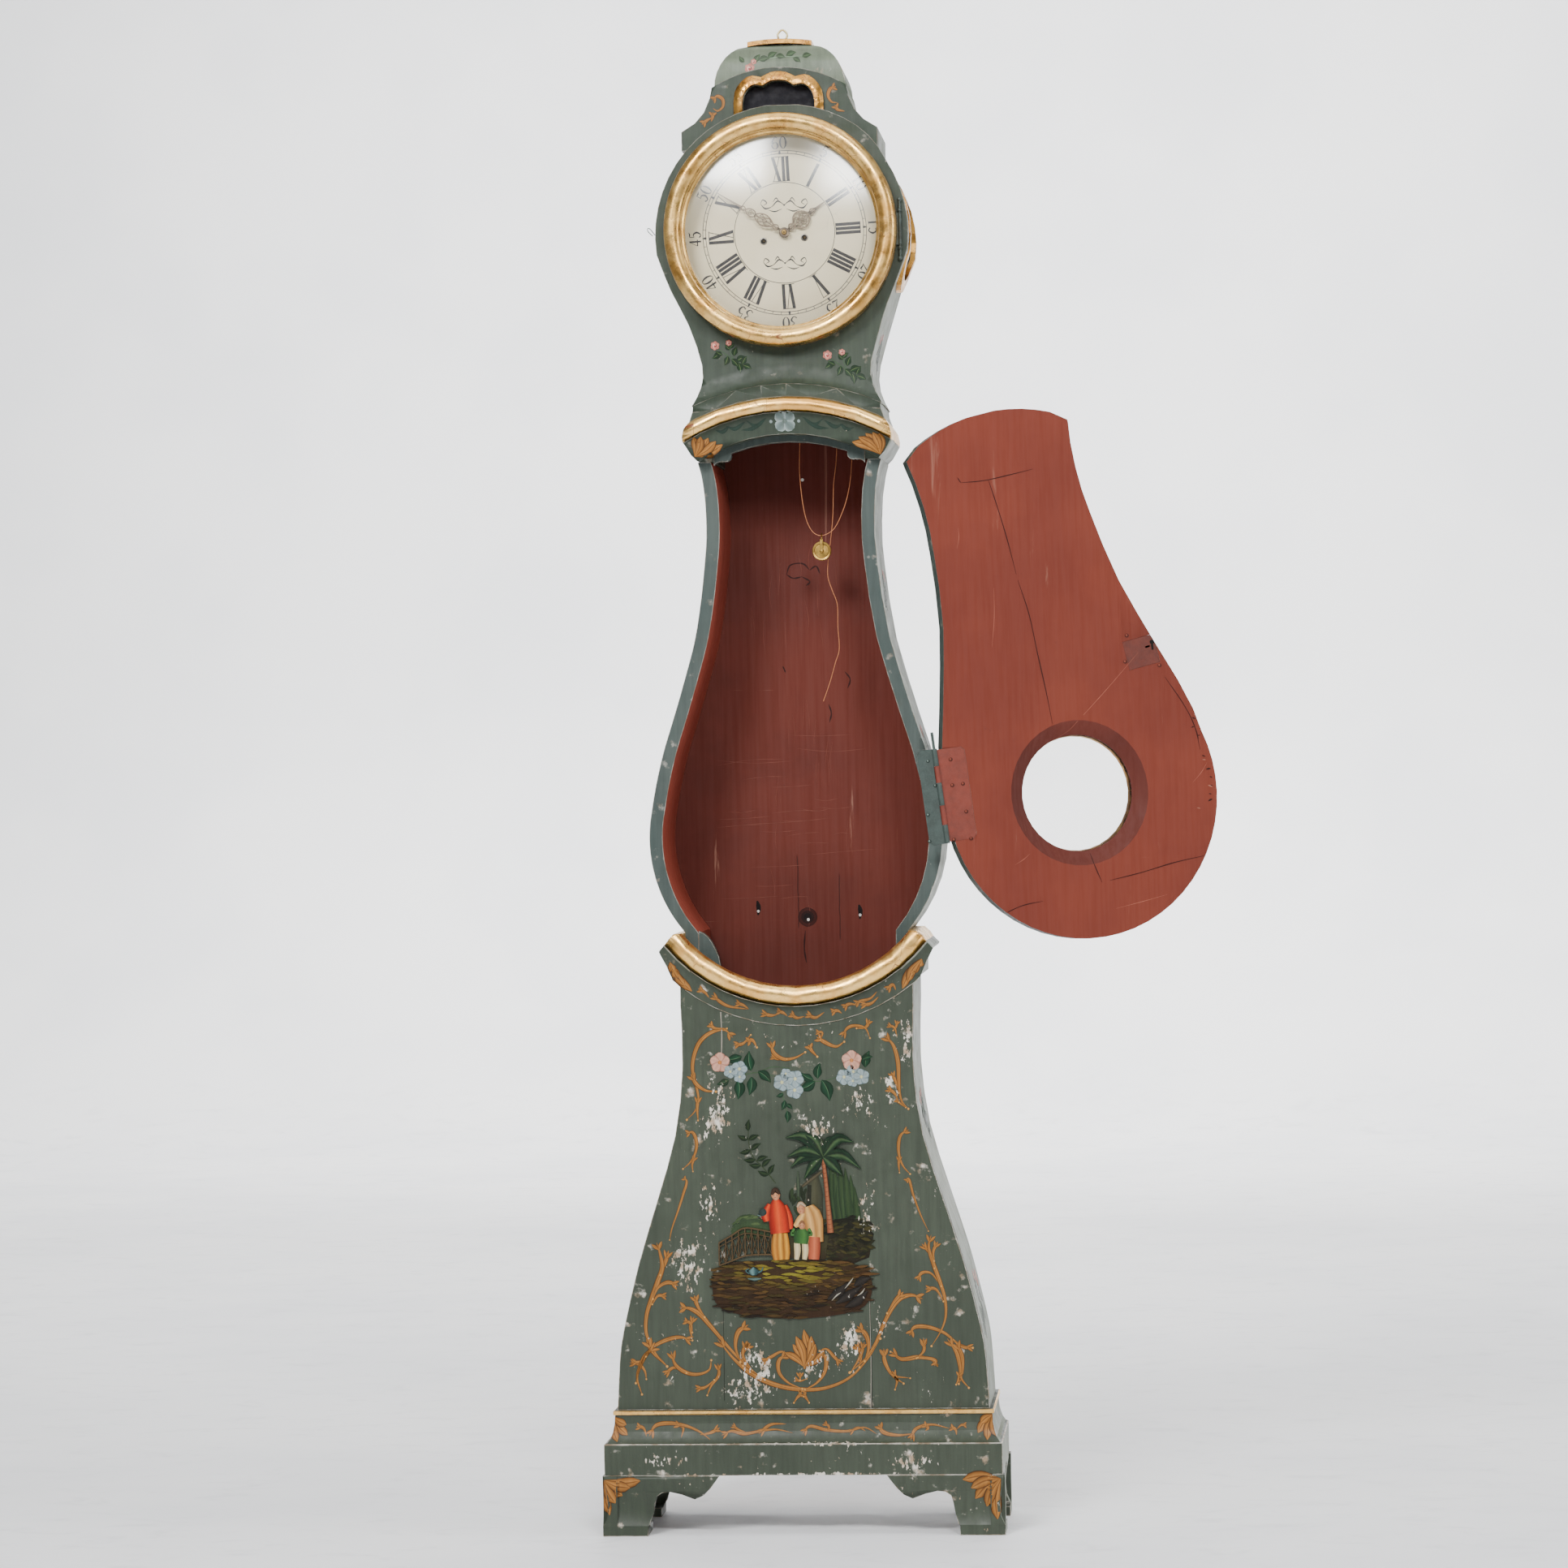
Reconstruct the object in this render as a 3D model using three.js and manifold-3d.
// Longcase clock with a waisted, painted case, an open trunk door and a round dial.
// Millimetres, +Z up, front towards -Y, origin on the floor under the middle of the plinth.
import * as THREE from 'three';
import { mergeVertices } from 'three/addons/utils/BufferGeometryUtils.js';
import Module from 'manifold-3d';

const wasm = await Module();
wasm.setup();

// ---- driving dimensions -------------------------------------------------------------
const BACK = 125;                 // rear plane of the case
const GAP = 0.3;                  // seam between touching pieces
const BOARD = 20;                 // thickness of the case boards
const BACK_THICK = 12;            // thickness of the back board
const PLINTH_W = 300;             // half width of the plinth
const PLINTH_FRONT = -125;
const FOOT_H = 90;
const PLINTH_TOP = 137;
const FILLET_TOP = 186;
const BASE_FRONT = -100;          // front plane of the lower case
const TRUNK_FRONT = -70;          // front edges of the trunk sides
const HOOD_FRONT = -90;
const LENS_Z = 1048;              // centre of the lower circle of the trunk
const LENS_R = 222;
const NECK_Z = 1389;              // centre of the arcs under the hood
const DISC_Z = 1957;              // centre of the hood disc
const DISC_R = 196;
const SIDE_R = 181;               // the hood's sides stand back from the disc's edge
const DIAL_X = -2;                // centre of the dial and of its hands
const DIAL_Z = 1962;
const BEZEL_X = -5;               // the glazed door sits a little to the left
const ROOF_X = -7;                // and so do the gable and the roof
const ROOF_TOP = 2252;
const DOOR_THICK = 20;
const DOOR_BACK = -71;
const HINGE = new THREE.Vector3(221, -70, 1106);
const HINGE_TILT = THREE.MathUtils.degToRad(7.3);
const DOOR_OPEN = THREE.MathUtils.degToRad(201.5);
const MINUTE_AT = THREE.MathUtils.degToRad(-58.5);
const HOUR_AT = THREE.MathUtils.degToRad(54);

// ---- colours ------------------------------------------------------------------------
const GREEN = [0x56675d, 0.55, 0];
const PALE_GREEN = [0x8b9a8c, 0.6, 0];
const GILT = [0xb98236, 0.35, 0.7];
const RED = [0x6e3429, 0.65, 0];
const BRASS = [0x9a7b3c, 0.35, 0.9];
const IRON = [0x4c5550, 0.5, 0.7];
const STEEL = [0x8d8a84, 0.35, 0.9];
const ENAMEL = [0xcfc9b6, 0.3, 0];
const GLASS = [0xdfe6e6, 0.05, 0];
const CLOTH = [0x1d1c22, 0.95, 0];
const GUT = [0xb07a55, 0.6, 0];
const WOOD = [0x8a6a48, 0.7, 0];

const ARC_SIDES = 56;             // flats in a full turn of the large arcs

const group = new THREE.Group();
group.name = 'grandfather_clock';

// ---- shared shapers -----------------------------------------------------------------
// A geometry becomes an exact solid whose faces look outwards.
function solid(geometry) {
  const g = geometry.clone();
  g.deleteAttribute('normal');
  g.deleteAttribute('uv');
  const merged = mergeVertices(g, 1e-4);
  const position = merged.attributes.position.array;
  const index = Array.from(merged.index.array);
  const faces = [];
  let volume = 0;
  for (let i = 0; i < index.length; i += 3) {
    const [a, b, c] = [index[i], index[i + 1], index[i + 2]];
    if (a === b || b === c || a === c) continue;
    faces.push(a, b, c);
    const A = new THREE.Vector3().fromArray(position, a * 3);
    const B = new THREE.Vector3().fromArray(position, b * 3);
    const C = new THREE.Vector3().fromArray(position, c * 3);
    volume += A.dot(B.cross(C));
  }
  if (volume < 0) faces.reverse();
  return new wasm.Manifold(new wasm.Mesh({
    numProp: 3,
    vertProperties: new Float32Array(position),
    triVerts: new Uint32Array(faces),
  }));
}

// Adds a named mesh to the clock.
function piece(name, shape, [color, roughness, metalness]) {
  const mesh = shape.getMesh();
  const geometry = new THREE.BufferGeometry();
  geometry.setAttribute('position', new THREE.BufferAttribute(mesh.vertProperties, 3));
  geometry.setIndex(new THREE.BufferAttribute(mesh.triVerts, 1));
  geometry.computeVertexNormals();
  const material = new THREE.MeshStandardMaterial({ color, roughness, metalness });
  if (color === GLASS[0]) {
    material.transparent = true;
    material.opacity = 0.35;
  }
  const node = new THREE.Mesh(geometry, material);
  node.name = name;
  group.add(node);
  return shape;
}

const v2 = (x, y) => new THREE.Vector2(x, y);

// Points of a smooth line through the given corners.
function smooth(points, steps) {
  return new THREE.SplineCurve(points.map(([x, y]) => v2(x, y))).getPoints(steps);
}

// Points on a circle from angle a to angle b, in degrees.
function arc(cx, cy, r, a, b, steps, ry = r) {
  const list = [];
  for (let i = 0; i <= steps; i += 1) {
    const t = THREE.MathUtils.degToRad(a + ((b - a) * i) / steps);
    list.push(v2(cx + r * Math.cos(t), cy + ry * Math.sin(t)));
  }
  return list;
}

const toVectors = (points) => points.map((p) => (Array.isArray(p) ? v2(p[0], p[1]) : p));

// Flat outline in the XZ plane, made thick from y0 to y1.
function plate(points, y0, y1) {
  const shape = new THREE.Shape(toVectors(points));
  const g = new THREE.ExtrudeGeometry(shape, { depth: y1 - y0, bevelEnabled: false });
  g.rotateX(Math.PI / 2);
  g.translate(0, y1, 0);
  return solid(g);
}

// Flat outline in the YZ plane, made thick from x0 to x1.
function slab(points, x0, x1) {
  const shape = new THREE.Shape(toVectors(points));
  const g = new THREE.ExtrudeGeometry(shape, { depth: x1 - x0, bevelEnabled: false });
  g.rotateX(Math.PI / 2);
  g.rotateZ(Math.PI / 2);
  g.translate(x0, 0, 0);
  return solid(g);
}

function box(x0, x1, y0, y1, z0, z1) {
  const g = new THREE.BoxGeometry(x1 - x0, y1 - y0, z1 - z0);
  g.translate((x0 + x1) / 2, (y0 + y1) / 2, (z0 + z1) / 2);
  return solid(g);
}

// Round bar along Y.
function disc(x, z, r, y0, y1, sides = 32) {
  const g = new THREE.CylinderGeometry(r, r, y1 - y0, sides);
  g.translate(x, (y0 + y1) / 2, z);
  return solid(g);
}

// Round bar along Z.
function rod(x, y, r, z0, z1, sides = 12) {
  const g = new THREE.CylinderGeometry(r, r, z1 - z0, sides);
  g.rotateX(Math.PI / 2);
  g.translate(x, y, (z0 + z1) / 2);
  return solid(g);
}

// Turned shape about an axis along Y; the profile holds (radius, y) pairs and closes on itself
// or on the axis.
function turned(x, z, profile, sides) {
  const g = new THREE.LatheGeometry(toVectors(profile), sides);
  g.translate(x, 0, z);
  return solid(g);
}

// Ring profile that closes on itself.
const closed = (profile) => [...toVectors(profile), toVectors(profile)[0].clone()];

const mirrorX = (shape) => shape.scale([-1, 1, 1]);
const flip = (points) => toVectors(points).map((p) => v2(-p.x, p.y)).reverse();
const inset = (points, d) => toVectors(points).map((p) => v2(p.x - d, p.y));

// Whole symmetric outline from its right half, bottom to top.
const both = (right) => [...toVectors(right), ...flip(right)];

// Stacked rectangles [z, x half width, y front, y back].
function stack(levels) {
  const positions = [];
  const index = [];
  levels.forEach(([z, x, y0, y1]) => {
    positions.push(-x, y0, z, x, y0, z, x, y1, z, -x, y1, z);
  });
  const top = (levels.length - 1) * 4;
  index.push(0, 2, 1, 0, 3, 2, top, top + 1, top + 2, top, top + 2, top + 3);
  for (let k = 0; k < levels.length - 1; k += 1) {
    for (let i = 0; i < 4; i += 1) {
      const a = k * 4 + i;
      const b = k * 4 + ((i + 1) % 4);
      index.push(a, b, b + 4, a, b + 4, a + 4);
    }
  }
  const g = new THREE.BufferGeometry();
  g.setAttribute('position', new THREE.Float32BufferAttribute(positions, 3));
  g.setIndex(index);
  return solid(g);
}

// Tube along a smooth curve through 3-D points.
function tube(points, r, steps, sides = 8) {
  const curve = new THREE.CatmullRomCurve3(points.map((p) => new THREE.Vector3(...p)));
  const section = new THREE.Shape(arc(0, 0, r, 0, 360 - 360 / sides, sides - 1));
  return solid(new THREE.ExtrudeGeometry(section, { steps, extrudePath: curve }));
}

// ---- outlines of the right half, bottom to top --------------------------------------
const baseOutline = smooth([
  [281, 186.3], [277, 258], [270, 307], [246, 405], [216, 502], [187, 600], [174.5, 700], [176, 796],
], 14);
const trunkCurve = [
  [217, 1095], [203, 1163], [173, 1260], [146, 1357], [132, 1455], [127.5, 1516], [131, 1580],
  [139, 1616.7],
];
const circleEnd = THREE.MathUtils.radToDeg(Math.asin((1095 - LENS_Z) / LENS_R));
const sideStart = THREE.MathUtils.radToDeg(Math.asin((905 - LENS_Z) / LENS_R));
const trunkOutline = [
  v2(169.6, 878.7),
  ...arc(0, LENS_Z, LENS_R, sideStart, circleEnd, 7),
  ...smooth(trunkCurve, 12).slice(1),
];
const hoodLower = smooth([
  [143, 1700.3], [130, 1728], [128, 1762], [147, 1822], [173, 1874], [190, 1918],
], 10);
const sideTop = THREE.MathUtils.radToDeg(Math.acos(140 / SIDE_R));
const hoodOutline = [
  ...smooth([[143, 1700.3], [130, 1728], [128, 1762], [140, 1808], [156, 1860], [172, 1912]], 9),
  ...arc(0, DISC_Z, SIDE_R, -8, sideTop, 6), v2(140, 2086),
];
const pedimentSide = [
  [148.7, 2117], [128, 2130], [114, 2146], [104.5, 2168], [101.5, 2183],
];

// Board that follows an outline on one side of the case.
function sideBoard(outline, thick, y0, y1) {
  return plate([...outline, ...inset(outline, thick).reverse()], y0, y1);
}

// ---- feet and plinth ----------------------------------------------------------------
// Scrolled bracket seen from the front: pad, toe, cusp and wing.
const bracket = [
  [-303, 0], [-235, 0], [-235, 14],
  ...smooth([[-232, 18], [-226, 40], [-223, 57], [-211, 65], [-192, 64], [-164, 54]], 7),
  ...smooth([[-162, 55], [-151, 60], [-140, 71], [-126, FOOT_H]], 3),
  [-303, FOOT_H],
];
// Ogee face of the bracket, as (depth, height).
const ogee = (front) => [
  [front - 3, 0], [front - 3, 14],
  ...smooth([[front - 2, 16], [front + 5, 34], [front + 4, 60], [front, 84]], 4),
  [front, FOOT_H], [front + 24, FOOT_H], [front + 24, 0],
];
const frontFace = plate(bracket, PLINTH_FRONT - 4, PLINTH_FRONT + 22)
  .intersect(slab(ogee(PLINTH_FRONT), -320, -110));
const sideBracket = bracket.map((p) => {
  const [x, z] = Array.isArray(p) ? p : [p.x, p.y];
  return v2(PLINTH_FRONT - 3 + (x + 303) * 0.62, z);
});
const sideFace = slab(sideBracket, -306, -281)
  .intersect(plate(ogee(-PLINTH_W), -200, 0));
const foot = frontFace.add(sideFace)
  .add(box(-303, -235, PLINTH_FRONT - 3, -60, 0, 14));
const rearFoot = foot.scale([1, -1, 1]).intersect(box(-400, 0, 0, BACK, -5, 100));
piece('foot_front_left', foot, GREEN);
piece('foot_front_right', mirrorX(foot), GREEN);
piece('foot_rear_left', rearFoot, GREEN);
piece('foot_rear_right', mirrorX(rearFoot), GREEN);

piece('plinth_frame', box(-PLINTH_W, PLINTH_W, PLINTH_FRONT, BACK, FOOT_H + GAP, PLINTH_TOP)
  .subtract(box(-278, 278, -103, 103, 80, 150)), GREEN);

// Cove that steps in from the plinth, with a rounded gilt fillet on top.
const coveLevels = [];
for (let i = 0; i <= 5; i += 1) {
  const t = (i / 5) * (Math.PI / 2);
  const z = PLINTH_TOP + GAP + 42 * (1 - Math.cos(t));
  coveLevels.push([z, PLINTH_W - 15 * Math.sin(t), PLINTH_FRONT + 21 * Math.sin(t), BACK]);
}
coveLevels.push([180, 287.5, -107, BACK], [185, 287.5, -107, BACK], [FILLET_TOP, 286, -105.5, BACK]);
piece('plinth_moulding', stack(coveLevels)
  .subtract(box(-262, 262, -82, 103, 130, 190)), GILT);

// ---- lower case ---------------------------------------------------------------------
const baseFull = [...baseOutline, v2(176, 878.4)];
piece('base_front_board', plate(both(baseFull), BASE_FRONT, BASE_FRONT + BOARD)
  .subtract(disc(0, LENS_Z, 230, -120, -60, ARC_SIDES)), GREEN);
const baseSide = sideBoard(baseFull, BOARD, BASE_FRONT + BOARD + GAP, BACK - BACK_THICK - GAP);
piece('base_side_right', baseSide, GREEN);
piece('base_side_left', mirrorX(baseSide), GREEN);

// Back board, one plank shape from the plinth to the shoulders of the hood.
const backHalf = [
  ...baseFull, ...trunkOutline, v2(138, 1640), v2(138, 1700), ...hoodOutline,
];
piece('back_board', plate(both(inset(backHalf, 1)), BACK - BACK_THICK, BACK), RED);

// ---- waist moulding between lower case and trunk -------------------------------------
const halfBulge = (r, half, y, depth) => arc(r, y, half, 180, 360, 4, depth);
function cove(r0, r1, y0, depth) {
  const list = [];
  for (let i = 0; i <= 4; i += 1) {
    const t = (i / 4) * (Math.PI / 2);
    list.push(v2(r0 + (r1 - r0) * Math.sin(t), y0 - depth * (1 - Math.cos(t))));
  }
  return list;
}

// A moulding: arcs across the front, returned along both sides to the back.
function moulding(profile, z, silhouette, side, seam, rear) {
  const ring = turned(0, z, closed(profile), ARC_SIDES);
  const front = ring.intersect(plate(silhouette, -160, seam));
  const sideRight = plate(side, seam + GAP, rear);
  const link = plate(side, seam - 4, seam + 2 * GAP).intersect(plate(silhouette, -200, 0))
    .intersect(turned(0, z, closed([
      [profile[0].x, -110], [profile[0].x, 0],
      [profile[profile.length - 1].x, 0], [profile[profile.length - 1].x, -110],
    ]), ARC_SIDES));
  const right = sideRight.add(link);
  return front.add(right).add(mirrorX(right));
}

const waistSeam = BASE_FRONT - GAP;
const waistSilhouette = both([
  [172, 700], [176.4, 800], [188, 838], [196, 856], [207, 878], [183, 905],
]);
piece('waist_moulding_gilt', moulding(
  [v2(223.5, waistSeam), ...halfBulge(238.6, 15.1, -106, 13), v2(253.7, waistSeam)],
  LENS_Z,
  waistSilhouette,
  [[170, 889.2], [196.8, 889.2], [192, 897], [183, 905], [170, 905]],
  waistSeam,
  BACK - BACK_THICK - GAP,
), GILT);
piece('waist_moulding_cove', moulding(
  [v2(284, waistSeam), ...cove(284, 254, -101.5, 15.5), v2(254, waistSeam)],
  LENS_Z,
  waistSilhouette,
  [
    [176.4, 838], [188, 838],
    ...arc(214, 846, 27, 180, 112, 4, 33).slice(1),
    [206, 880], [197, 888.9], [176.4, 888.9],
  ],
  waistSeam,
  BACK - BACK_THICK - GAP,
), GREEN);

// ---- trunk --------------------------------------------------------------------------
const tiltBack = (shape) => shape
  .translate([-HINGE.x, -HINGE.y, -HINGE.z])
  .rotate([0, -THREE.MathUtils.radToDeg(HINGE_TILT), 0])
  .translate([HINGE.x, HINGE.y, HINGE.z]);
const swing = (shape) => {
  const axis = new THREE.Vector3(-Math.sin(HINGE_TILT), 0, Math.cos(HINGE_TILT));
  const m = new THREE.Matrix4().makeTranslation(HINGE.x, HINGE.y, HINGE.z)
    .multiply(new THREE.Matrix4().makeRotationAxis(axis, DOOR_OPEN))
    .multiply(new THREE.Matrix4().makeTranslation(-HINGE.x, -HINGE.y, -HINGE.z));
  return shape.transform(Array.from(m.elements));
};
// Hinge flap seen closed: from the barrel inwards, between two heights above the pivot.
const flap = (width, low, high, y0, y1) => tiltBack(
  plate([
    [HINGE.x - width + 6, HINGE.z + low], [HINGE.x - 1, HINGE.z + low],
    [HINGE.x - 1, HINGE.z + high], [HINGE.x - width + 6, HINGE.z + high],
    [HINGE.x - width, HINGE.z + high - 6], [HINGE.x - width, HINGE.z + low + 6],
  ], y0, y1),
);
const caseFlap = flap(27, -72, 72, -70, -68);
const caseRecess = flap(27 + GAP, -72 - GAP, 72 + GAP, -75, -68 + GAP);
const doorFlap = flap(48, -70, 70, -73, -71);
const doorRecess = flap(48 + GAP, -70 - GAP, 70 + GAP, -73 - GAP, -60);

const trunkSide = sideBoard(trunkOutline, BOARD, TRUNK_FRONT, BACK - BACK_THICK - GAP);
const barrelRoom = tiltBack(rod(HINGE.x, HINGE.y, 4.4, HINGE.z - 73, HINGE.z + 73, 16));
piece('trunk_side_right', trunkSide.subtract(caseRecess).subtract(barrelRoom), GREEN);
piece('trunk_side_left', mirrorX(trunkSide), GREEN);

// Curved rail hidden behind the waist moulding; a rounded block stands up at its left end.
const footBlock = plate([
  [155, 862], [149.3, 878], [149.3, 907], [142, 904], [135, 898], [128.7, 888.5], [123.8, 878.7],
  [119.6, 869], [117.1, 856], [117, 845], [140, 850],
], TRUNK_FRONT, TRUNK_FRONT + 16);
piece('trunk_bottom_rail', turned(0, LENS_Z, closed([
  [232, TRUNK_FRONT], [252, TRUNK_FRONT], [252, TRUNK_FRONT + BOARD],
  [232, TRUNK_FRONT + BOARD],
]), ARC_SIDES).intersect(box(-155, 155, -80, -40, 780, 877))
  .add(mirrorX(footBlock)), GREEN);

// Rail over the opening, with a scalloped block in each corner.
const cornerBlock = plate([
  [118.4, 1590], [116, 1604],
  ...arc(105, 1606, 11, 0, 110, 4),
  ...arc(97, 1626, 9.5, -60, -200, 5),
  [88, 1640], [110, 1650], [118.4, 1640],
], TRUNK_FRONT, TRUNK_FRONT + 16);
const railArch = turned(0, NECK_Z, closed([
  [256, TRUNK_FRONT], [290, TRUNK_FRONT], [290, TRUNK_FRONT + 16], [256, TRUNK_FRONT + 16],
]), ARC_SIDES).intersect(box(-114.6, 114.6, -80, -40, 1600, 1700));
const railLimit = plate(both([
  [0, 1585], [108.6, 1585], [111.8, 1600], [114.6, 1612], [114.6, 1700],
]), -80, -40);
piece('trunk_top_rail', railArch.add(cornerBlock).add(mirrorX(cornerBlock))
  .intersect(railLimit), GREEN);

// ---- mouldings under the hood -------------------------------------------------------
const neckSeam = TRUNK_FRONT - GAP;
const neckSilhouette = both([
  [137, 1600], [137, 1617], [146, 1626], [157, 1645], [157.5, 1652], [155, 1664], [147, 1676],
  [142, 1690], [141, 1700], [140, 1790],
]);
piece('neck_moulding_cove', moulding(
  [v2(266.3, neckSeam), ...cove(266.3, 298.7, -98, 19), v2(298.7, neckSeam)],
  NECK_Z,
  neckSilhouette,
  [[115, 1617], [137, 1617], [146, 1626], [157, 1645], [115, 1645]],
  neckSeam,
  BACK - BACK_THICK - GAP,
), GREEN);
piece('neck_moulding_gilt', moulding(
  [v2(299, neckSeam), ...halfBulge(310.4, 11.4, -111, 11), v2(321.8, neckSeam)],
  NECK_Z,
  neckSilhouette,
  [[115, 1645.3], [157, 1645.3], [157.5, 1652], [155, 1664], [147, 1676], [115, 1676]],
  neckSeam,
  BACK - BACK_THICK - GAP,
), GILT);
const baseBand = moulding(
  [v2(322.1, neckSeam), v2(322.1, -108), v2(341, -108), v2(341, neckSeam)],
  NECK_Z,
  neckSilhouette,
  [[115, 1676.3], [147, 1676.3], [142, 1690], [141, 1700], [115, 1700]],
  neckSeam,
  BACK - BACK_THICK - GAP,
);

// ---- hood ---------------------------------------------------------------------------
const hoodBelow = plate(both([[0, 1660], [141, 1660], ...hoodLower]), -140, -60);
const hoodFlare = turned(0, NECK_Z, closed([
  [341.3, -92], [378, -89], ...cove(378, 341.3, -90, 16).slice(1),
]), ARC_SIDES).intersect(plate(both([
  [0, 1660], [140, 1690], [143, 1700], [130, 1728], [128, 1775],
]), -140, -60));
const faceArc = disc(0, NECK_Z, 340, -150, 0, ARC_SIDES);
const hoodFront = plate(both([
  v2(140, 1690), ...hoodLower.slice(0, -1), ...arc(0, DISC_Z, DISC_R, -8, 90, 14),
].slice(0, -1)), HOOD_FRONT, HOOD_FRONT + BOARD)
  .subtract(disc(BEZEL_X, DIAL_Z, 150, -120, -40, 40));
piece('hood_front_board', hoodFront.add(hoodFlare.intersect(hoodBelow)).subtract(faceArc)
  .add(baseBand), GREEN);

const hoodSideShape = sideBoard(hoodOutline, 18, HOOD_FRONT + BOARD + GAP, BACK - BACK_THICK - GAP);
const windowY = 22;
const bar = (r, sides = 28) => {
  const g = new THREE.CylinderGeometry(r, r, 160, sides);
  g.rotateZ(Math.PI / 2);
  g.translate(180, windowY, DISC_Z);
  return solid(g);
};
const shell = (d0, d1) => plate([
  ...inset(hoodOutline, -d1), ...inset(hoodOutline, -d0).reverse(),
], -80, 120);
const hoodSide = hoodSideShape.subtract(bar(66));
piece('hood_side_right', hoodSide, PALE_GREEN);
piece('hood_side_left', mirrorX(hoodSide), PALE_GREEN);
const windowRing = shell(GAP, 8).intersect(bar(82).subtract(bar(64)));
piece('side_window_ring_right', windowRing, GILT);
piece('side_window_ring_left', mirrorX(windowRing), GILT);
const windowCloth = shell(-9, -6).intersect(bar(65.7));
piece('side_window_cloth_right', windowCloth, CLOTH);
piece('side_window_cloth_left', mirrorX(windowCloth), CLOTH);

// Gable board behind the disc, with a lobed opening framed in gilt.
const gableArc = Math.atan2(101.5, 192 - 29);
const gable = [
  ...both([
    [112, 2064], [112, 2088.3], [148.7, 2088.3], ...pedimentSide,
    ...arc(0, 2212 - 192, 192, 90 - THREE.MathUtils.radToDeg(gableArc), 90, 10).slice(1, -1),
  ]),
];
const lobes = (grow) => both([
  [54 + grow, 2120],
  ...smooth([[54 + grow, 2158], [50 + grow, 2173 + grow / 2], [38 + grow / 2, 2184 + grow],
    [23.5 + grow / 6, 2182 + grow]], 8),
  ...smooth([[23 + grow / 6, 2182.5 + grow], [12, 2189 + grow], [0.5, 2190.5 + grow]], 4),
]);
const aside = (shape) => shape.translate([ROOF_X, 0, 0]);
piece('pediment_board', aside(plate(gable, TRUNK_FRONT + GAP, TRUNK_FRONT + BOARD)
  .subtract(plate(lobes(0), -100, 0)))
  .subtract(disc(0, DISC_Z, 166, -100, 0, 40)), GREEN);
piece('pediment_frame', aside(plate(lobes(14), -76, TRUNK_FRONT)
  .add(plate(lobes(9), -79, -75))
  .subtract(plate(lobes(1), -100, 0)))
  .subtract(disc(0, DISC_Z, DISC_R + GAP, -100, 0, ARC_SIDES)), GILT);
piece('pediment_cloth', aside(plate(lobes(-GAP), -58, -55))
  .subtract(disc(0, DISC_Z, 170, -100, 0, 40)), CLOTH);

// Roof: a flared skirt and a dome, hollow inside.
function roofShape(d) {
  const skirt = plate(both([
    [148.7 - d, 2088.3 - d], [148.7 - d, 2117 - d / 2], [128 - d, 2130 - d / 2], [114 - d, 2146 - d / 2],
    [104.5 - d, 2168 - d / 2], [101.5 - d, 2183.5],
  ]), TRUNK_FRONT + BOARD + GAP + d, BACK - d);
  const levels = [];
  for (let i = 0; i <= 7; i += 1) {
    const t = (i / 7) * (Math.PI / 2.15);
    const s = Math.cos(t);
    const z = 2183 + (66 - d) * Math.sin(t);
    levels.push([z, 45 + 55 * s - d, -36 - 13 * s + d, 85 + 35 * s - d]);
  }
  return skirt.add(stack(levels));
}
const capCurve = (x0, z) => arc(0, z - 310, 310, 90 - x0 / 5.4, 90 + x0 / 5.4, 6);
const roofTop = plate([
  v2(160, 2060), v2(160, 2226), ...capCurve(56, ROOF_TOP - GAP), v2(-160, 2226), v2(-160, 2060),
], -100, 160);
piece('hood_roof', aside(roofShape(0).intersect(roofTop).subtract(roofShape(12))), PALE_GREEN);
const capBlank = plate([...capCurve(49, ROOF_TOP + 7), ...capCurve(49, ROOF_TOP).reverse()], -40, 86);
piece('roof_cap', aside(capBlank.subtract(rod(0, 22, 2.6, 2230, 2280))), GILT);

// Screw eye that stands on the cap.
const eye = tube([
  [0, 22, 2251], [0, 22, 2262], [3, 22, 2265], [7.5, 22, 2273], [0, 22, 2281.5], [-7.5, 22, 2274],
  [-6, 22, 2268.5],
], 1.6, 18);
piece('screw_eye', aside(eye), BRASS);

// Small wire hook on the left edge of the disc.
piece('side_hook', tube([
  [-197, -80, 1961], [-200, -81, 1965], [-205, -82, 1971], [-208, -82, 1971.5], [-208, -83, 1968],
  [-203, -84, 1962], [-200, -84.5, 1959.5],
], 0.7, 12, 5), IRON);

// ---- trunk door ---------------------------------------------------------------------
const doorR = LENS_R - 3.8;
const doorHalf = [
  ...arc(0, LENS_Z, doorR, -90, circleEnd, 16).slice(1),
  ...inset(smooth(trunkCurve, 12), 1).slice(1, -1),
  v2(134, 1606),
  ...arc(0, NECK_Z, 259.5, 60, 90, 6).slice(1, -1),
];
const doorFront = DOOR_BACK - DOOR_THICK;
const LENS = [4, LENS_Z + 5];      // centre of the round glass in the door
const lockBox = (d) => box(-177 - d, -126 + d, -84 - d, -71.3 + d * 8, 1212 - d, 1256 + d);
const doorOutlineSolid = plate([v2(0, LENS_Z - doorR), ...both(doorHalf)], doorFront, DOOR_BACK);
const doorPanel = doorOutlineSolid
  .subtract(disc(...LENS, 89, -120, -50, 36))
  .subtract(disc(...LENS, 94.3, -120, -86, 36))
  .subtract(turned(...LENS, [[0, -83], [89, -83], [111, -70.9], [111, -60], [0, -60]], 36))
  .subtract(doorRecess)
  .subtract(lockBox(GAP));
piece('door_panel', swing(doorPanel), RED);
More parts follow.
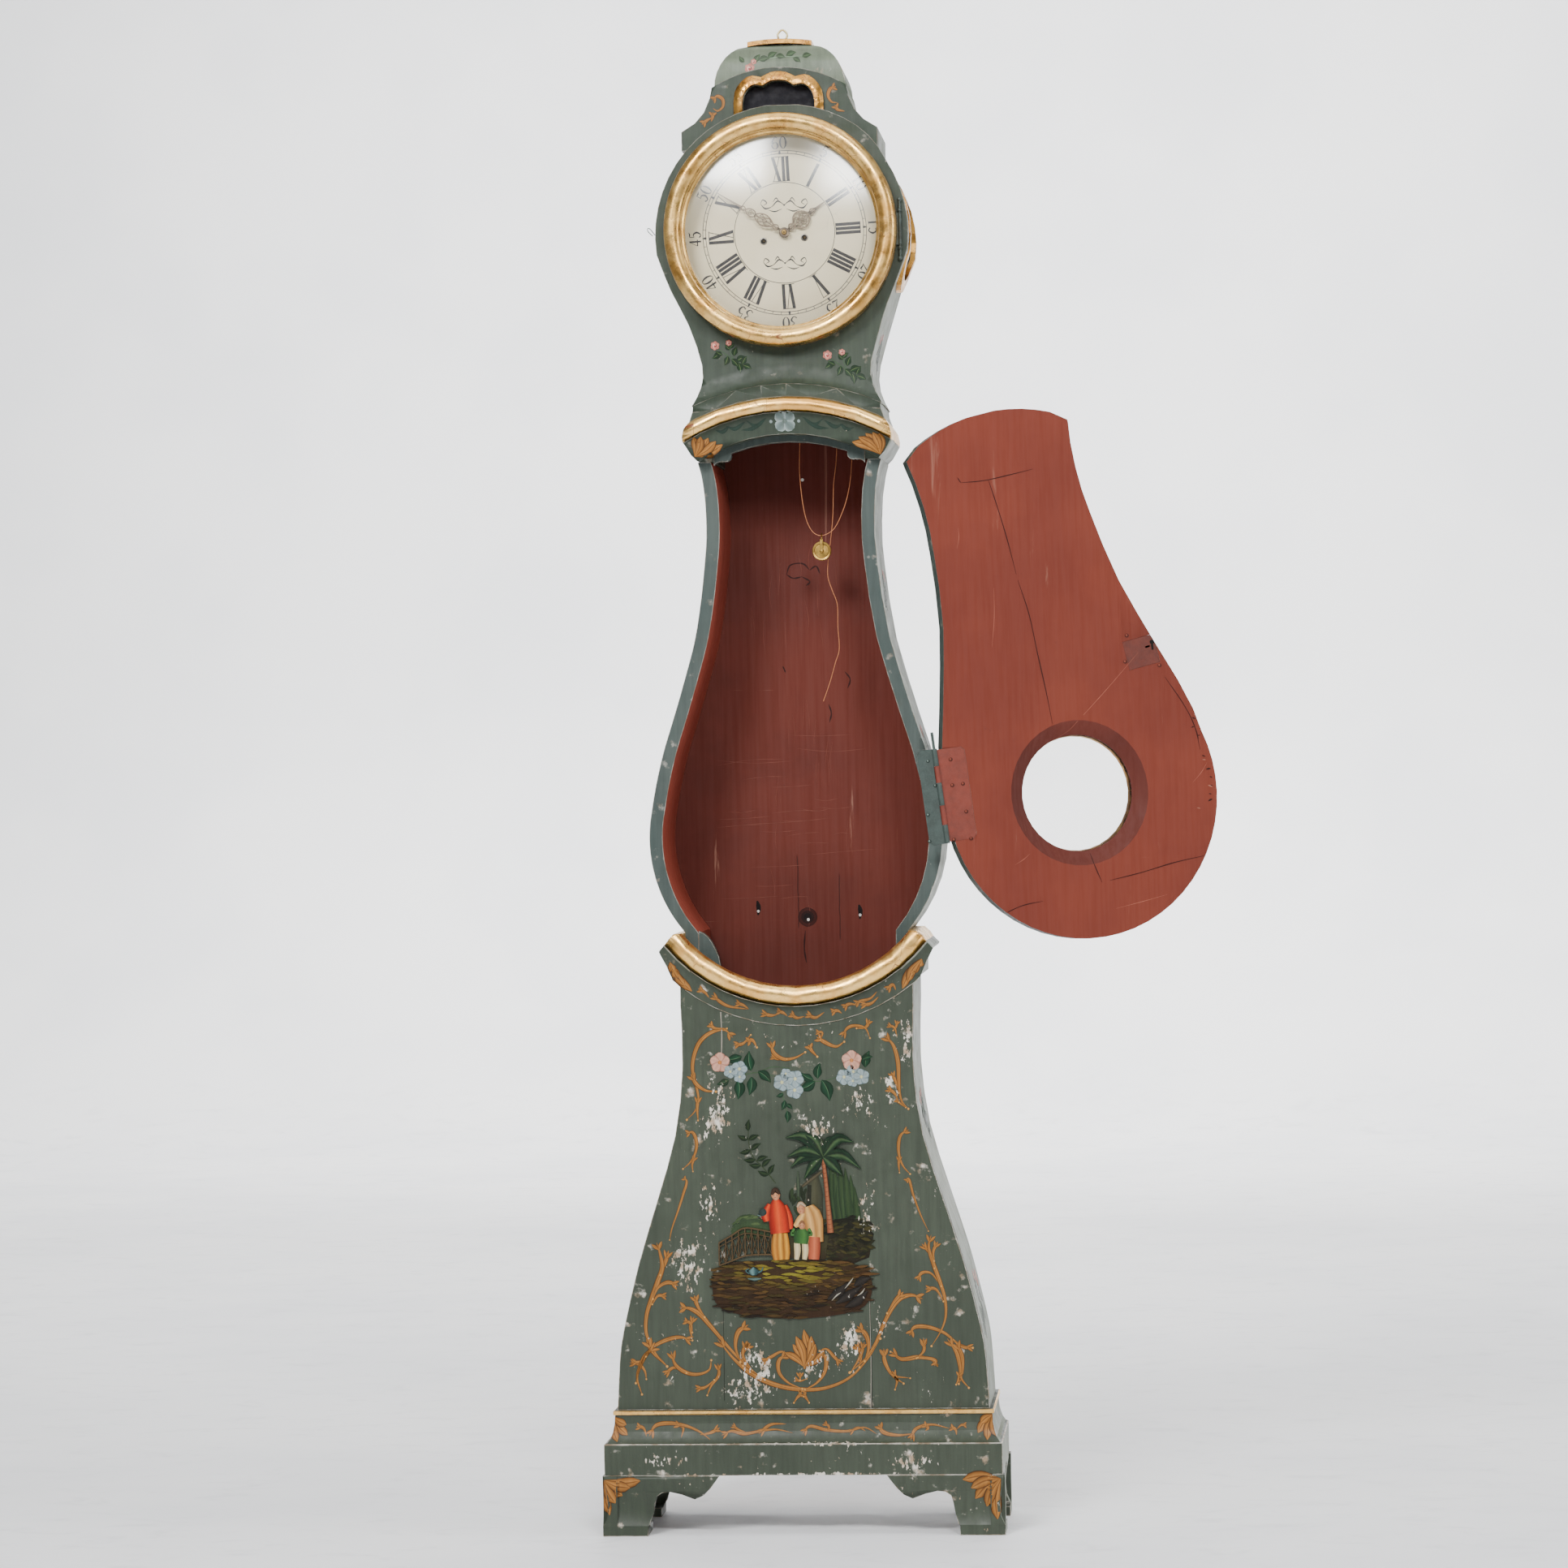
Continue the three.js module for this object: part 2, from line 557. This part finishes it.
piece('door_glass', swing(turned(...LENS, [
  [0, -97], [34, -95.6], [66, -93], [93.5, -89.6], [93.5, -87], [66, -90.4], [34, -93], [0, -94.4],
], 28)), GLASS);
piece('door_lens_ring', swing(turned(...LENS, closed([
  [88, doorFront - GAP], ...arc(101, doorFront - 5, 14, 180, 360, 4, 5),
  [115, doorFront - GAP],
]), 32)), GILT);
piece('door_lock', swing(lockBox(0)
  .intersect(plate([v2(0, LENS_Z - doorR), ...both(doorHalf)], -100, -50))
  .subtract(box(-168, -160, -90, -60, 1238, 1241))), IRON);

// Leaf hinge: barrel knuckles alternate, the pin stands out on top.
const knuckle = (low, high, bore) => {
  const outer = rod(HINGE.x, HINGE.y, 4, HINGE.z + low, HINGE.z + high, 16);
  return tiltBack(bore
    ? outer.subtract(rod(HINGE.x, HINGE.y, bore, HINGE.z + low - 1, HINGE.z + high + 1, 16))
    : outer);
};
const caseSpans = [[-72, -44], [-14, 20], [46, 72]];
const doorSpans = [[-43.6, -14.4], [20.4, 45.6]];
const room = (spans, r) => spans
  .map(([a, b]) => tiltBack(rod(HINGE.x, HINGE.y, r, HINGE.z + a - GAP, HINGE.z + b + GAP, 16)))
  .reduce((sum, s) => sum.add(s));
let caseLeaf = caseFlap.subtract(room(doorSpans, 4.4));
caseSpans.forEach(([a, b]) => {
  caseLeaf = caseLeaf.add(knuckle(a, b, 0));
});
caseLeaf = caseLeaf.add(tiltBack(rod(HINGE.x, HINGE.y, 2.2, HINGE.z - 72, HINGE.z + 97, 12)));
let doorLeaf = doorFlap.subtract(room(caseSpans, 4.4));
doorSpans.forEach(([a, b]) => {
  doorLeaf = doorLeaf.add(knuckle(a, b, 2.26));
});
doorLeaf = doorLeaf.subtract(tiltBack(rod(HINGE.x, HINGE.y, 2.26, HINGE.z - 80, HINGE.z + 100, 16)));
piece('hinge_leaf_case', caseLeaf, IRON);
piece('hinge_leaf_door', swing(doorLeaf), IRON);

// ---- glazed bezel door --------------------------------------------------------------
const pivotX = 174.5;
const pivotY = -95;
const bezelRing = turned(BEZEL_X, DIAL_Z, closed([
  [145, HOOD_FRONT - 0.6], [145, -108], [148, -111], [149, -119],
  ...arc(162, -116, 13, 195, 340, 5, 14),
  [176, -107], [176, -99], [173, HOOD_FRONT - 0.6],
]), 36);
const bezelTab = box(163, pivotX, -96, -94, DIAL_Z - 26, DIAL_Z + 22);
const bezelKnuckle = rod(pivotX, pivotY, 2.9, DIAL_Z - 26, DIAL_Z + 22, 12);
piece('bezel_ring', bezelRing.add(bezelTab).add(bezelKnuckle)
  .subtract(rod(pivotX, pivotY, 1.85, 1800, 2100, 12)), GILT);
piece('bezel_glass', turned(BEZEL_X, DIAL_Z, [
  [0, -117], [50, -115.4], [100, -110.4], [144.2, -101.6], [144.2, -99], [100, -107.8],
  [50, -112.8], [0, -114.4],
], 28), GLASS);
const ball = (z) => {
  const g = new THREE.SphereGeometry(3.6, 8, 6);
  g.translate(pivotX, pivotY, z);
  return solid(g);
};
piece('bezel_hinge', rod(pivotX, pivotY, 1.7, DIAL_Z - 46, DIAL_Z + 42, 12)
  .add(ball(DIAL_Z - 46)).add(ball(DIAL_Z + 42))
  .add(box(pivotX - 2, pivotX + 2, pivotY, HOOD_FRONT - GAP, DIAL_Z - 40, DIAL_Z - 30))
  .add(box(pivotX - 2, pivotX + 2, pivotY, HOOD_FRONT - GAP, DIAL_Z + 26, DIAL_Z + 36)), IRON);

// ---- movement -----------------------------------------------------------------------
const at = (dx, dz) => [DIAL_X + dx, DIAL_Z + dz];
const goingAt = [30, -8];
const strikeAt = [-32, -12];
const thirdAt = [-12, 13.42];
const escapeAt = [0, 22.91];
const pinAt = [-38, 14.93];
const anchorAt = [0, 41.3];
const hammerAt = [-50, 30];
const FRONT_PLATE = -38;
const BACK_PLATE = 32;
const barrelTop = 25;

piece('dial', turned(DIAL_X, DIAL_Z, [[0, -61], [100, -61.8], [158, -61], [158, -59], [0, -59]], 36)
  .subtract(disc(...at(0, 0), 4.2, -80, -40, 16))
  .subtract(disc(...at(...goingAt), 4.3, -80, -40, 16))
  .subtract(disc(...at(...strikeAt), 4.3, -80, -40, 16)), ENAMEL);
const plateOutline = (y0, y1) => box(DIAL_X - 66, DIAL_X + 66, y0, y1, 1880.3, 2053);
const pivots = (shape, y0, y1) => [
  [goingAt, 3.5], [strikeAt, 3.5], [[0, 0], 2.8], [thirdAt, 1.3], [escapeAt, 1.3], [pinAt, 1.4],
  [anchorAt, 1.6], [hammerAt, 1.6],
].reduce((s, [p, r]) => s.subtract(disc(...at(...p), r, y0, y1, r > 3 ? 12 : 10)), shape);
const pillars = [[-58, -66], [58, -66], [-28, 84], [58, 84]];
let frontPlate = pivots(plateOutline(FRONT_PLATE, FRONT_PLATE + 2.5), -50, -30);
[[-70, 0], [70, 0], [0, 88]].forEach(([x, z]) => {
  frontPlate = frontPlate.add(disc(...at(x * 0.86, z), 2.5, -58.7, FRONT_PLATE + 1, 10));
});
piece('movement_front_plate', frontPlate, BRASS);
let backPlate = pivots(plateOutline(BACK_PLATE, BACK_PLATE + 2.5), 20, 45);
pillars.forEach(([x, z]) => {
  backPlate = backPlate.add(disc(...at(x, z), 4, FRONT_PLATE + 2.5 + GAP, BACK_PLATE + 1, 8));
});
piece('movement_back_plate', backPlate, BRASS);

// Fine-toothed wheel: n teeth of module m, one tip pointing at the angle given.
function toothed(x, z, n, m, y0, y1, aim) {
  const r = (n * m) / 2;
  const points = [];
  for (let i = 0; i < n * 2; i += 1) {
    const a = aim + (i * Math.PI) / n;
    const d = i % 2 === 0 ? r + 0.55 * m : r - 1.25 * m;
    points.push(v2(x + d * Math.cos(a), z + d * Math.sin(a)));
  }
  return plate(points, y0, y1);
}
const heading = (from, to) => Math.atan2(to[1] - from[1], to[0] - from[0]);
const moduleOf = (from, to, na, nb) => (2 * Math.hypot(to[0] - from[0], to[1] - from[1])) / (na + nb);
const mGreat = moduleOf(goingAt, [0, 0], 72, 6);
const mCentre = moduleOf([0, 0], thirdAt, 48, 6);
const mThird = moduleOf(thirdAt, escapeAt, 45, 6);
const mStrike = moduleOf(strikeAt, pinAt, 72, 8);

const winder = (p, r, teeth, m, aim) => {
  const [x, z] = at(...p);
  return disc(x, z, r, -16, 20, 16)
    .add(disc(x, z, r + 2.4, -18, -16, 16))
    .add(toothed(x, z, teeth, m, 19.9, 24, aim))
    .add(disc(x, z, 3.2, -45, BACK_PLATE + 3, 12))
    .add(box(x - 2.1, x + 2.1, -60.5, -44, z - 2.1, z + 2.1));
};
piece('going_barrel', winder(goingAt, barrelTop - 1, 72, mGreat, heading(goingAt, [0, 0])), BRASS);
piece('strike_barrel', winder(strikeAt, barrelTop - 3, 72, mStrike, heading(strikeAt, pinAt)), BRASS);

piece('centre_wheel', disc(...at(0, 0), 1.5, -74, BACK_PLATE + 3, 12)
  .add(toothed(...at(0, 0), 6, mGreat, 18, 27, heading([0, 0], goingAt) + Math.PI / 6))
  .add(toothed(...at(0, 0), 48, mCentre, -31, -29, heading([0, 0], thirdAt))), BRASS);
piece('third_wheel', disc(...at(...thirdAt), 1.2, FRONT_PLATE, BACK_PLATE + 2.4, 10)
  .add(toothed(...at(...thirdAt), 6, mCentre, -33, -27, heading(thirdAt, [0, 0]) + Math.PI / 6))
  .add(toothed(...at(...thirdAt), 45, mThird, -24, -22, heading(thirdAt, escapeAt))), BRASS);
const escapeR = 13;
const escapeTeeth = [];
for (let i = 0; i < 30; i += 1) {
  const a = (i * Math.PI) / 15;
  const [x, z] = at(...escapeAt);
  escapeTeeth.push(v2(x + escapeR * Math.cos(a), z + escapeR * Math.sin(a)));
  escapeTeeth.push(v2(x + (escapeR - 2.4) * Math.cos(a + 0.07), z + (escapeR - 2.4) * Math.sin(a + 0.07)));
}
piece('escape_wheel', disc(...at(...escapeAt), 1.2, FRONT_PLATE, BACK_PLATE + 2.4, 10)
  .add(toothed(...at(...escapeAt), 6, mThird, -26, -20, heading(escapeAt, thirdAt) + Math.PI / 6))
  .add(plate(escapeTeeth, -12, -10.5)), BRASS);

// Anchor with its arbor and the crutch behind the back plate.
const [ax, az] = at(...anchorAt);
const pallet = plate([
  [ax - 2, az + 3], [ax + 2, az + 3], [ax + 10.5, az - 5], [ax + 10.9, az - 8.6], [ax + 9.6, az - 8.4],
  [ax + 8, az - 5.4], [ax, az - 2.5], [ax - 8, az - 5.4], [ax - 9.6, az - 8.4], [ax - 10.9, az - 8.6],
  [ax - 10.5, az - 5],
], -13, -9.5);
piece('anchor', pallet
  .add(disc(ax, az, 1.5, FRONT_PLATE, BACK_PLATE + 8, 10))
  .add(box(ax - 2, ax + 2, BACK_PLATE + 6, BACK_PLATE + 8, az - 108, az + 3))
  .add(box(ax - 6, ax + 6, BACK_PLATE + 6, BACK_PLATE + 8, az - 112, az - 106))
  .add(box(ax - 6, ax - 4, BACK_PLATE + 7, BACK_PLATE + 20, az - 112, az - 106))
  .add(box(ax + 4, ax + 6, BACK_PLATE + 7, BACK_PLATE + 20, az - 112, az - 106)), STEEL);

// Pin wheel that lifts the hammer.
let pinWheel = disc(...at(...pinAt), 1.3, FRONT_PLATE, BACK_PLATE + 2.4, 10)
  .add(toothed(...at(...pinAt), 8, mStrike, 18, 27, heading(pinAt, strikeAt) + Math.PI / 8))
  .add(toothed(...at(...pinAt), 32, 0.9, -31, -29, 0));
for (let i = 0; i < 8; i += 1) {
  const a = (i * Math.PI) / 4 + Math.PI / 8;
  const [x, z] = at(...pinAt);
  pinWheel = pinWheel.add(disc(x + 11 * Math.cos(a), z + 11 * Math.sin(a), 0.8, -30, -25.5, 5));
}
piece('pin_wheel', pinWheel, BRASS);
const [hx, hz] = at(...hammerAt);
piece('hammer', disc(hx, hz, 1.5, FRONT_PLATE, BACK_PLATE + 2.4, 10)
  .add(box(hx - 1.5, hx + 1.5, 3, 6, hz, hz + 80))
  .add(box(hx - 2.5, hx + 4.5, 0, 9, hz + 75, hz + 84))
  .add(box(hx, hx + 4.4, -28, -26, hz - 1, hz + 1)), STEEL);
const bellZ = DIAL_Z + 112;
const bellProfile = [
  [0, 30], [16, 28.5], [31, 21], [38, 8], [43, -10], [41, -10], [36, 7], [29.6, 19], [15, 26.2],
  [0, 27.5],
];
const bellBody = solid((() => {
  const g = new THREE.LatheGeometry(toVectors(bellProfile), 16);
  g.rotateX(Math.PI / 2);
  g.translate(DIAL_X, 5, bellZ);
  return g;
})());
piece('bell', bellBody
  .add(rod(DIAL_X, 5, 2, bellZ - 14, bellZ + 34, 10))
  .add(box(DIAL_X - 3, DIAL_X + 3, 5, BACK_PLATE + 2.5 + GAP + 2.4, bellZ - 16, bellZ - 12))
  .add(box(DIAL_X - 3, DIAL_X + 3, BACK_PLATE + 2.5 + GAP, BACK_PLATE + 2.5 + GAP + 2.4,
    bellZ - 38, bellZ - 12)), BRASS);

// Seat board that carries the movement, slotted for the lines.
piece('seat_board', box(-134, 134, -52, 95, 1862, 1880)
  .subtract(box(2, 18, 5, 25, 1850, 1890)), WOOD);

// ---- hands --------------------------------------------------------------------------
// Both hands are drawn pointing to twelve and turned clockwise to their place.
const clockwise = (shape, angle) => shape
  .translate([-DIAL_X, 0, -DIAL_Z])
  .rotate([0, THREE.MathUtils.radToDeg(angle), 0])
  .translate([DIAL_X, 0, DIAL_Z]);
const handPlate = (points, y0, y1) => plate(
  toVectors(points).map((p) => v2(p.x + DIAL_X, p.y + DIAL_Z)),
  y0,
  y1,
);
const minuteShape = handPlate(both([
  [0.01, -10], [7, -6], [8, 2], [4, 10], [3, 18], [9, 28], [8.5, 42], [3.5, 52], [6.5, 62], [3, 74],
  [2.2, 84], [1, 118], [0.01, 120],
]), -70.2, -69)
  .subtract(handPlate(both([[0.01, 24], [5, 30], [4.6, 40], [0.01, 47]]), -80, -60))
  .subtract(handPlate(both([[0.01, 56], [3, 62], [0.01, 70]]), -80, -60))
  .subtract(disc(...at(0, 0), 1.75, -80, -60, 12));
piece('minute_hand', clockwise(minuteShape, MINUTE_AT), STEEL);
const hourShape = handPlate(both([
  [0.01, -9], [6, -7], [8, 0], [5, 9], [4, 15], [13, 24], [14, 36], [8, 48], [3.5, 54], [1.2, 74],
  [0.01, 77],
]), -66.4, -65.2)
  .subtract(handPlate(both([[1.5, 22], [9, 28], [9, 37], [1.5, 46]]).slice(0, 4), -80, -60))
  .subtract(handPlate(flip([[1.5, 22], [9, 28], [9, 37], [1.5, 46]]), -80, -60))
  .add(disc(...at(0, 0), 3.4, -66.4, -50, 14))
  .subtract(disc(...at(0, 0), 1.75, -80, -40, 12));
piece('hour_hand', clockwise(hourShape, HOUR_AT), STEEL);

// ---- lines and pulley ---------------------------------------------------------------
const LINE_Y = 15;
piece('gut_line_going', tube([
  [DIAL_X + 30 - barrelTop - 0.2, LINE_Y, DIAL_Z - 13], [9.5, LINE_Y, 1880], [10, LINE_Y, 1760],
  [10, LINE_Y, 1663], [9, LINE_Y, 1595], [18.5, LINE_Y, 1529.3], [29.6, LINE_Y, 1510.4],
  [41, LINE_Y, 1506.5], [58.3, LINE_Y, 1514.8], [72.8, LINE_Y, 1540.6], [83.3, LINE_Y, 1573.9],
  [89, LINE_Y, 1622], [88, LINE_Y, 1700], [88, LINE_Y, 1780], [88, LINE_Y, 1861.6],
], 0.6, 48), GUT);
piece('gut_line_strike', tube([
  [66, 26, 1861.6], [66, 26, 1760], [65.8, 26, 1653.6], [64, 26, 1617.7], [59.8, 26, 1585.5],
  [57.8, 26, 1537], [53.5, 26, 1497.6], [49.3, 26, 1466.6], [48.6, 26, 1444.3], [54.9, 26, 1423],
  [62, 26, 1403], [62.7, 26, 1367], [64, 26, 1331], [58.2, 26, 1312.7], [49, 26, 1281.8],
  [38.6, 26, 1253.5],
], 0.6, 40), GUT);

const PULLEY = [40.8, 1483];
piece('pulley_sheave', turned(PULLEY[0], PULLEY[1], closed([
  [1.56, 11.6], [12, 11.6], [13, 11], [14.5, 11.4], [12, 15], [14.5, 18.6], [13, 19], [12, 18.4],
  [1.56, 18.4],
]), 20), BRASS);
const eyeRing = (() => {
  const g = new THREE.TorusGeometry(2.7, 0.9, 5, 12);
  g.rotateY(Math.PI / 2);
  g.translate(PULLEY[0], LINE_Y, 1507);
  return solid(g);
})();
const cheek = (y0, y1) => plate([
  [PULLEY[0] - 2.2, 1480.6], [PULLEY[0] + 2.2, 1480.6], [PULLEY[0] + 2.2, 1500],
  [PULLEY[0] - 2.2, 1500],
], y0, y1);
piece('pulley_stirrup', cheek(9.4, 10.6).add(cheek(19.4, 20.6))
  .add(box(PULLEY[0] - 2.2, PULLEY[0] + 2.2, 9.4, 20.6, 1498.8, 1500.4))
  .add(disc(...PULLEY, 1.5, 9, 21, 12))
  .add(box(PULLEY[0] - 0.9, PULLEY[0] + 0.9, LINE_Y - 1, LINE_Y + 1, 1500, 1504.4))
  .add(eyeRing), BRASS);

export default group;
